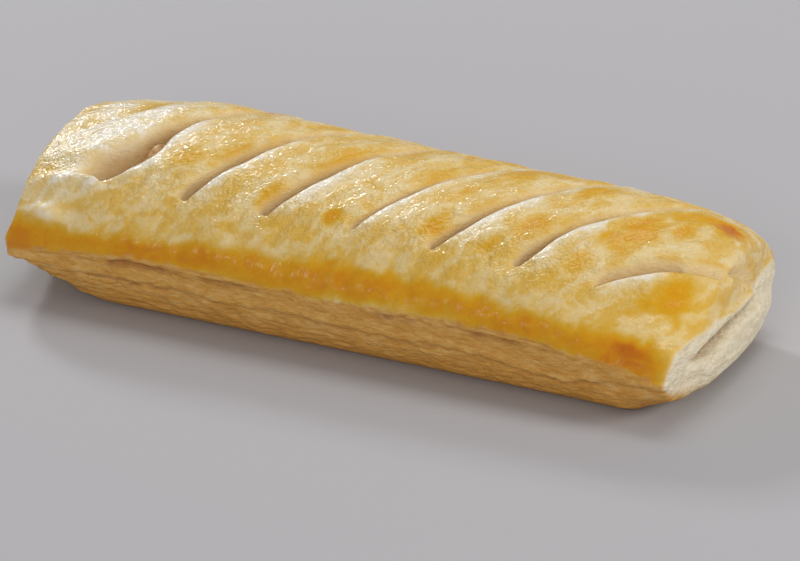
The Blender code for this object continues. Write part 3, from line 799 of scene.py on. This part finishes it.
shell, left_rings, right_rings, inner = all_points()
left_end = np.concatenate([shell[:1], left_rings])[::-1]
right_end = np.concatenate([shell[-1:], right_rings])
core_holes = [(core_lines.index(left), core_lines.index(right), first // CORE_STEP, last // CORE_STEP)
              for left, right, first, last in holes]
shell_faces, shell_keep = quads(shell, holes)
left_faces, left_keep = quads(left_end)
right_faces, right_keep = quads(right_end)
inner_faces, inner_keep = quads(inner, core_holes)
joins = [join(closed_row(left_end[0]), closed_row(inner[0])),
         join(closed_row(right_end[-1]), closed_row(inner[-1]))[:, ::-1]]
for hole, core_hole in zip(holes, core_holes):
    joins += [join(fine, coarse) for fine, coarse in zip(rim(shell, *hole), rim(inner, *core_hole))]
joins = np.concatenate(joins)

pastry_points = np.concatenate([part.reshape(-1, 3) for part in (outside, left_face, right_face, core)])
end_marks = [cut_end(face, SLIT_Z + SLIT_RISE * face[..., 1]) for face in (left_face, right_face)]
fade_in = smooth_step(np.arange(len(left_face)), 1.0, 6.0)[:, None]


def marks(*values):
    """One row of finish values for all points: the outside, the left and right end faces and the space."""
    parts = zip(values, (outside, left_face, right_face, core))
    return np.concatenate([np.broadcast_to(value, part.shape[:2]).ravel() for value, part in parts])


pastry = new_piece(
    "pastry_crust",
    pastry_points,
    [shell_faces, left_faces, right_faces, inner_faces[:, ::-1], joins],
    [
        block_map(shell_keep, (0.01, 0.01), (0.98, 0.79)),
        block_map(left_keep, (0.01, 0.81), (0.98, 0.06), sideways=True),
        block_map(right_keep, (0.01, 0.88), (0.98, 0.06), sideways=True),
        block_map(inner_keep, (0.01, 0.95), (0.6, 0.04))[:, ::-1],
        scrap_map(len(joins), (0.62, 0.95), (0.37, 0.04)),
    ],
    {
        # browning, less a paleness that includes painted highlights on the lips, the tucked ridge and the blister
        "browned_and_highlight": marks(browned_and_highlight(outside, lips), browned_and_highlight(left_face, 0.0), browned_and_highlight(right_face, 0.0), 0.0),
        "bare": marks(bare_dough, left_bare, right_bare, 1.0),
        # painted shade down the slash walls and over the whole space for the meat, partly moister dough
        "deep_shade": marks(slash_shade, 0.0, 0.0, 1.0),
        "side": marks(cut_side(outside), cut_side(left_face), cut_side(right_face), 0.0),
        # painted shade in the furrows of the sealed side, with its dark seam line
        "groove": marks(furrow_shade(outside), 0.0, 0.0, 0.0),
        "end": marks(0.0, end_marks[0] * fade_in, end_marks[1] * fade_in, 0.0),
    },
)


# ---- The look of glazed, baked and bare dough ----

def tint(red, green, blue):
    """A colour from its three shares of 255, in the linear numbers that shaders use."""
    shares = np.array([red, green, blue]) / 255.0
    return (*np.where(shares < 0.04045, shares / 12.92, ((shares + 0.055) / 1.055) ** 2.4), 1.0)


def add(tree, kind, inputs=None, **settings):
    """A new node of a kind. inputs gives sockets by name or number a value or another node's output."""
    node = tree.nodes.new(kind)
    for name, value in settings.items():
        setattr(node, name, value)
    for name, value in (inputs or {}).items():
        if isinstance(value, bpy.types.NodeSocket):
            tree.links.new(value, node.inputs[name])
        else:
            node.inputs[name].default_value = value
    return node


def maths(tree, operation, *values):
    """The result of one maths step on values or outputs."""
    node = add(tree, "ShaderNodeMath", dict(enumerate(values)), operation=operation)
    return node.outputs["Value"]


def between(tree, value, start, end):
    """0 to 1 in an S-curve as value goes from start to end."""
    node = add(tree, "ShaderNodeMapRange", {"Value": value, "From Min": start, "From Max": end},
               interpolation_type="SMOOTHSTEP")
    return node.outputs["Result"]


def blend(tree, share, first, second):
    """Colour that goes from the first to the second as share goes from 0 to 1."""
    node = tree.nodes.new("ShaderNodeMix")
    node.data_type = "RGBA"
    for socket, value in ((node.inputs[0], share), (node.inputs[6], first), (node.inputs[7], second)):
        if isinstance(value, bpy.types.NodeSocket):
            tree.links.new(value, socket)
        else:
            socket.default_value = value
    return node.outputs[2]


def ramp(tree, value, stops):
    """Colour ramp over a value, from pairs of a place and a colour."""
    node = add(tree, "ShaderNodeValToRGB", {"Fac": value})
    elements = node.color_ramp.elements
    while len(elements) < len(stops):
        elements.new(0.5)
    for element, (place, colour) in zip(elements, stops):
        element.position = place
        element.color = colour
    return node.outputs["Color"]


def finish_value(tree, name):
    """A finish of the mesh's points."""
    return add(tree, "ShaderNodeAttribute", attribute_name=name).outputs["Fac"]


def grain_group():
    """Node group "dough grain": a mottled mask whose cells can be drawn out and turned about Z."""
    tree = bpy.data.node_groups.new("dough grain", "ShaderNodeTree")
    for name, kind in (("Cell", "NodeSocketVector"), ("Turn", "NodeSocketVector"), ("Detail", "NodeSocketFloat"),
                       ("Roughness", "NodeSocketFloat"), ("Warp", "NodeSocketFloat")):
        tree.interface.new_socket(name, in_out="INPUT", socket_type=kind)
    tree.interface.new_socket("Mask", in_out="OUTPUT", socket_type="NodeSocketFloat")
    given = tree.nodes.new("NodeGroupInput")
    place = add(tree, "ShaderNodeTexCoord").outputs["Object"]
    drawn = add(tree, "ShaderNodeMapping", {"Vector": place, "Rotation": given.outputs["Turn"],
                                            "Scale": given.outputs["Cell"]}, vector_type="TEXTURE")
    noise = add(tree, "ShaderNodeTexNoise", {
        "Vector": drawn.outputs["Vector"], "Scale": 1.0, "Detail": given.outputs["Detail"],
        "Roughness": given.outputs["Roughness"], "Distortion": given.outputs["Warp"]})
    add(tree, "NodeGroupOutput", {"Mask": noise.outputs["Fac"]})
    return tree


grain = grain_group()
SLASH_TURN = math.atan2(1.0, 0.66)
STREAK_TURN = 0.10                       # streaks on the back of the top run almost along the roll


def grain_mask(tree, cell, detail=2.0, roughness=0.5, warp=0.0, turn=0.0):
    """The grain's mask with cells of the given size in millimetres, drawn out along a turned direction."""
    node = tree.nodes.new("ShaderNodeGroup")
    node.node_tree = grain
    node.inputs["Cell"].default_value = tuple(MM * side for side in cell)
    node.inputs["Turn"].default_value = (0.0, 0.0, turn)
    node.inputs["Detail"].default_value = detail
    node.inputs["Roughness"].default_value = roughness
    node.inputs["Warp"].default_value = warp
    return node.outputs["Mask"]


def baked_pastry():
    """Glazed crust that goes from cream over gold to brown, with bare dough in cuts and on cut edges, painted shade
    deep in the cuts and in the side's furrows, and painted highlights on the lips and ridges.
    """
    material = bpy.data.materials.new("baked_pastry")
    material.use_nodes = True
    tree = material.node_tree
    shader = tree.nodes["Principled BSDF"]

    patches = grain_mask(tree, (8.0, 4.5, 4.0), 3.0, 0.55, 0.5, SLASH_TURN)
    spots = grain_mask(tree, (2.6, 1.8, 1.7), 3.0, 0.6, 0.4, SLASH_TURN)
    specks = grain_mask(tree, (0.8, 0.8, 0.8), 2.0, 0.6)
    place = add(tree, "ShaderNodeSeparateXYZ", {0: add(tree, "ShaderNodeTexCoord").outputs["Object"]}).outputs
    browned_and_highlight_share = finish_value(tree, "browned_and_highlight")
    golden = between(tree, maths(tree, "MULTIPLY_ADD", specks, 0.12, patches), 0.48, 0.64)
    streaks = between(tree, grain_mask(tree, (22.0, 2.2, 3.0), 2.0, 0.5, 0.3, STREAK_TURN), 0.48, 0.60)
    streaks = maths(tree, "MULTIPLY", streaks, between(tree, place["Y"], 0.006, 0.015))
    mottle = maths(tree, "MULTIPLY_ADD", patches, 0.34, maths(tree, "MULTIPLY", spots, 0.24))
    mottle = maths(tree, "MULTIPLY_ADD", specks, 0.14, mottle)
    mottle = maths(tree, "MULTIPLY_ADD", golden, 0.13, mottle)
    mottle = maths(tree, "MULTIPLY_ADD", streaks, 0.13, mottle)
    even = maths(tree, "MULTIPLY_ADD", maths(tree, "MAXIMUM", browned_and_highlight_share, 0.0), -0.75, 1.0)
    # the painted highlights on the lips, the tucked ridge and the blister come in here as paleness
    toast_and_highlight = maths(tree, "MULTIPLY_ADD", mottle, even, maths(tree, "SUBTRACT", browned_and_highlight_share, 0.105))
    glazed = ramp(tree, toast_and_highlight, [
        (0.00, tint(236, 226, 204)), (0.18, tint(228, 205, 152)), (0.34, tint(222, 188, 110)),
        (0.50, tint(216, 172, 66)), (0.66, tint(214, 160, 26)), (0.80, tint(214, 149, 10)),
        (0.92, tint(207, 129, 6)), (1.00, tint(190, 104, 12))])

    layered = grain_mask(tree, (4.5, 4.5, 1.2), 3.0, 0.6, 0.8)
    side_colour = ramp(tree, layered, [
        (0.30, tint(202, 144, 66)), (0.50, tint(214, 162, 82)), (0.70, tint(227, 184, 112))])
    lower = between(tree, place["Z"], 0.0085, 0.003)
    side_colour = blend(tree, maths(tree, "MULTIPLY", lower, 0.65), side_colour, tint(208, 148, 64))
    # painted shade in the furrows between the side's layers, and the dark seam line
    side_colour = blend(tree, finish_value(tree, "groove"), side_colour, tint(170, 114, 62))
    bare_colour = ramp(tree, spots, [(0.3, tint(226, 196, 138)), (0.7, tint(234, 210, 160))])
    # painted shade: the bare dough darkens down the slash walls and inside the space for the meat
    bare_colour = blend(tree, finish_value(tree, "deep_shade"), bare_colour, tint(158, 100, 34))
    end_colour = ramp(tree, spots, [(0.3, tint(222, 206, 170)), (0.7, tint(238, 228, 204))])

    colour = blend(tree, finish_value(tree, "bare"), glazed, bare_colour)
    colour = blend(tree, finish_value(tree, "side"), colour, side_colour)
    colour = blend(tree, finish_value(tree, "end"), colour, end_colour)
    tree.links.new(colour, shader.inputs["Base Color"])

    dull = maths(tree, "MAXIMUM", finish_value(tree, "bare"), finish_value(tree, "side"))
    dull = maths(tree, "MAXIMUM", dull, finish_value(tree, "end"))
    roughness = maths(tree, "MULTIPLY_ADD", dull, 0.45, 0.13)
    roughness = maths(tree, "MULTIPLY_ADD", between(tree, spots, 0.44, 0.62), 0.12, roughness)
    tree.links.new(maths(tree, "MULTIPLY_ADD", specks, 0.10, roughness), shader.inputs["Roughness"])

    folds = grain_mask(tree, (2.6, 1.6, 1.8), 2.0, 0.5, 0.3, SLASH_TURN)
    crinkle = grain_mask(tree, (1.0, 0.8, 0.8), 2.0, 0.55, 0.2, SLASH_TURN)
    crumb = grain_mask(tree, (1.6, 1.6, 0.7), 3.0, 0.65, 0.4)
    upper = maths(tree, "MULTIPLY_ADD", between(tree, place["Z"], 0.020, 0.029), 0.7, 0.3)
    upper = maths(tree, "MULTIPLY", upper, even)
    skin = maths(tree, "MULTIPLY", maths(tree, "MULTIPLY_ADD", crinkle, 0.5, maths(tree, "MULTIPLY", folds, 1.0)), upper)
    relief = maths(tree, "MULTIPLY_ADD", maths(tree, "SUBTRACT", 1.0, dull), skin, maths(tree, "MULTIPLY", crumb, dull))
    normal = add(tree, "ShaderNodeBump", {"Strength": 1.0, "Distance": 0.65 * MM, "Height": relief})
    tree.links.new(normal.outputs["Normal"], shader.inputs["Normal"])
    shader.inputs["IOR"].default_value = 1.42
    shader.inputs["Subsurface Weight"].default_value = 0.12
    shader.inputs["Subsurface Radius"].default_value = (0.0016, 0.0010, 0.0005)
    shader.inputs["Subsurface Scale"].default_value = 1.0
    return material


pastry.data.materials.append(baked_pastry())
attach(pastry, "root")
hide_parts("pastry")


# ======================================================================================================
# The sausage meat: one length of seasoned minced pork that fills the space inside the pastry and shows
# in the slashes and at both ends, where the pastry squeezes it flat.
# ======================================================================================================

MEAT_LINES, MEAT_ROWS = 260, 140
MEAT_GAP = 0.25                          # the slit is this much higher than the meat in it
MEAT_SINK = 0.80                         # the grains lie this deep on average, so that none reaches the pastry
BULGE_Y, BULGE_LENGTH, BULGE_WIDTH, BULGE_HEIGHT = -6.4, 5.2, 2.0, 5.4   # it swells up into the first slash
BULGE_ACROSS = -1.6


def mince(along, around):
    """Points of the meat: an ellipse along the roll, squeezed flat at both ends, with a minced surface."""
    across, up = np.cos(around), np.sin(around)
    x = MEAT_TIP * np.sin(along * math.pi / 2.0)
    bow = np.where(x < 0.0, -LEFT_BOW, RIGHT_BOW) * (1.0 - ((MEAT_Y + MEAT_HALF_WIDTH * across) / SEALED_Y) ** 2)
    x = x + bow * smooth_step(np.abs(x), CORNER_X - BOW_LENGTH, CORNER_X)
    flat = smooth_step(np.abs(x), TIP - PINCH - 2.0, CORNER_X - CORE_INSET)
    closing = np.sqrt(np.clip(1.0 - (np.abs(along) - 0.985) / 0.015, 0.0, 1.0))
    closing = np.where(np.abs(along) > 0.985, closing, 1.0)
    half_width = MEAT_HALF_WIDTH + (SLIT_HALF_WIDTH - 0.6 - MEAT_HALF_WIDTH) * flat
    slit_height = SLIT_HALF_HEIGHT * opening(across * half_width / SLIT_HALF_WIDTH) - MEAT_GAP
    half_height = MEAT_HALF_HEIGHT + (slit_height - MEAT_HALF_HEIGHT) * flat
    y = MEAT_Y + (SLIT_Y - MEAT_Y) * flat + half_width * across * closing
    middle = MEAT_Z + (SLIT_Z - MEAT_Z) * flat + SLIT_RISE * flat * (y - SLIT_Y)
    middle = middle + 0.35 * dough_noise(y, x, 0.0, 5.0, 31) * flat
    z = middle + half_height * up * closing
    grainy = 0.34 * dough_noise(x, y, z, 2.2, 71) + 0.2 * dough_noise(x, y, z, 1.1, 72)
    sink = (grainy - MEAT_SINK) * (1.0 - 0.6 * flat) * closing
    beside = (slash_place(x, y)[0] - SLASH_STARTS_X[0]) / math.hypot(1.0, SLASH_SLOPE) - BULGE_ACROSS
    swell = BULGE_HEIGHT * bump(beside, 0.0, BULGE_WIDTH) * bump(y, BULGE_Y, BULGE_LENGTH) * (up > 0.0)
    return np.stack([x, y + sink * across * 0.6, z + sink * up + swell], axis=-1)


along_grid, around_grid = np.meshgrid(np.linspace(-0.9995, 0.9995, MEAT_LINES),
                                      np.linspace(0.0, 2.0 * math.pi, MEAT_ROWS, endpoint=False), indexing="ij")
meat_rings = mince(along_grid, around_grid)
meat_numbers = np.arange(MEAT_LINES * MEAT_ROWS).reshape(MEAT_LINES, MEAT_ROWS)
meat_faces, meat_keep = quads(meat_numbers)
meat_faces = meat_faces[:, ::-1]
tips = np.array([meat_rings[0].mean(axis=0), meat_rings[-1].mean(axis=0)])
left_ring, right_ring = closed_row(meat_numbers[0]), closed_row(meat_numbers[-1])
tip_faces = np.concatenate([
    np.stack([np.full(MEAT_ROWS, meat_numbers.size), left_ring[1:], left_ring[:-1]], axis=-1),
    np.stack([np.full(MEAT_ROWS, meat_numbers.size + 1), right_ring[:-1], right_ring[1:]], axis=-1),
])
meat = new_piece(
    "sausage_meat_filling",
    np.concatenate([meat_rings.reshape(-1, 3), tips]),
    [meat_faces, tip_faces],
    [block_map(meat_keep, (0.01, 0.01), (0.98, 0.9)), scrap_map(len(tip_faces), (0.01, 0.93), (0.98, 0.06))],
    {},
)


def minced_meat():
    """Cooked mince: brown-pink, mottled with paler fat and darker browned grains, moist and coarse."""
    material = bpy.data.materials.new("sausage_meat")
    material.use_nodes = True
    tree = material.node_tree
    shader = tree.nodes["Principled BSDF"]
    grains = grain_mask(tree, (1.6, 1.3, 1.1), 3.0, 0.6, 0.5)
    fat = grain_mask(tree, (2.8, 2.4, 1.8), 2.0, 0.5)
    colour = ramp(tree, grains, [(0.30, tint(174, 124, 74)), (0.50, tint(208, 164, 108)), (0.70, tint(224, 190, 140))])
    colour = blend(tree, between(tree, fat, 0.58, 0.72), colour, tint(232, 206, 172))
    tree.links.new(colour, shader.inputs["Base Color"])
    tree.links.new(maths(tree, "MULTIPLY_ADD", grains, 0.3, 0.25), shader.inputs["Roughness"])
    normal = add(tree, "ShaderNodeBump", {"Strength": 0.6, "Distance": 0.4 * MM, "Height": grains})
    tree.links.new(normal.outputs["Normal"], shader.inputs["Normal"])
    shader.inputs["Subsurface Weight"].default_value = 0.15
    shader.inputs["Subsurface Radius"].default_value = (0.002, 0.0008, 0.0004)
    shader.inputs["Subsurface Scale"].default_value = 1.0
    return material


meat.data.materials.append(minced_meat())
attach(meat, "root")
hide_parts("sausage_meat")


# ======================================================================================================
# The table, the light and the camera: a plain pale floor, soft boxes behind at the left and right, a
# weak one in front, and a long lens from the front right.
# ======================================================================================================

FLOOR_HALF = 6.0
floor_mesh = bpy.data.meshes.new("floor")
floor_mesh.from_pydata([(x * FLOOR_HALF, y * FLOOR_HALF, 0.0) for x, y in ((-1, -1), (1, -1), (1, 1), (-1, 1))],
                       [], [(0, 1, 2, 3)])
floor = bpy.data.objects.new("floor", floor_mesh)
bpy.context.scene.collection.objects.link(floor)


def pale_floor():
    """Matte pale grey."""
    material = bpy.data.materials.new("pale_floor")
    material.use_nodes = True
    shader = material.node_tree.nodes["Principled BSDF"]
    shader.inputs["Base Color"].default_value = tint(178, 176, 178)
    shader.inputs["Roughness"].default_value = 0.8
    return material


floor_mesh.materials.append(pale_floor())


def soft_box(name, place, aim, size, power, colour, shines=True):
    """A rectangular soft light at a place, turned towards a point. shines: the glaze mirrors it."""
    light = bpy.data.lights.new(name, "AREA")
    light.shape = "RECTANGLE"
    light.size, light.size_y = size
    light.energy = power
    light.color = colour
    box = bpy.data.objects.new(name, light)
    box.visible_glossy = shines
    box.location = place
    box.rotation_euler = (Vector(aim) - Vector(place)).to_track_quat("-Z", "Y").to_euler()
    bpy.context.scene.collection.objects.link(box)


ROLL_MIDDLE = (0.0, 0.0, 0.02)
soft_box("back_left_light", (-0.85, 0.80, 0.62), ROLL_MIDDLE, (0.22, 0.18), 6.2, (0.97, 0.98, 1.0))
soft_box("right_light", (1.10, 0.25, 0.55), ROLL_MIDDLE, (0.45, 0.36), 6.6, (1.0, 0.99, 0.97), False)
soft_box("overhead_light", (-0.10, 0.45, 1.20), ROLL_MIDDLE, (0.7, 0.5), 3.9, (1.0, 1.0, 1.0))
soft_box("small_light", (-0.50, -1.10, 0.70), ROLL_MIDDLE, (0.06, 0.06), 0.4, (1.0, 1.0, 1.0))
soft_box("front_light", (0.4, -1.35, 0.6), ROLL_MIDDLE, (0.8, 0.6), 7.2, (1.0, 0.98, 0.96), False)

world = bpy.data.worlds.new("studio")
world.use_nodes = True
world.node_tree.nodes["Background"].inputs["Color"].default_value = (0.97, 0.97, 1.0, 1.0)
world.node_tree.nodes["Background"].inputs["Strength"].default_value = 0.32
bpy.context.scene.world = world
bpy.context.scene.view_settings.view_transform = "Standard"

VIEW_AZIMUTH, VIEW_ELEVATION = math.radians(25.4), math.radians(25.3)
VIEW_DISTANCE = 1.818
LENS = 370.6
towards = Vector((math.sin(VIEW_AZIMUTH) * math.cos(VIEW_ELEVATION),
                  -math.cos(VIEW_AZIMUTH) * math.cos(VIEW_ELEVATION), math.sin(VIEW_ELEVATION)))
rightwards = Vector((math.cos(VIEW_AZIMUTH), math.sin(VIEW_AZIMUTH), 0.0))
upwards = towards.cross(rightwards)
aim = Vector((0.0, 0.0, 0.014)) + 0.00188 * rightwards - 0.00673 * upwards
camera_data = bpy.data.cameras.new("camera")
camera_data.lens = LENS
camera_data.sensor_width = 36.0
camera_data.clip_end = 50.0
camera = bpy.data.objects.new("camera", camera_data)
camera.location = aim + VIEW_DISTANCE * towards
camera.rotation_euler = (-towards).to_track_quat("-Z", "Y").to_euler()
bpy.context.scene.collection.objects.link(camera)
bpy.context.scene.camera = camera
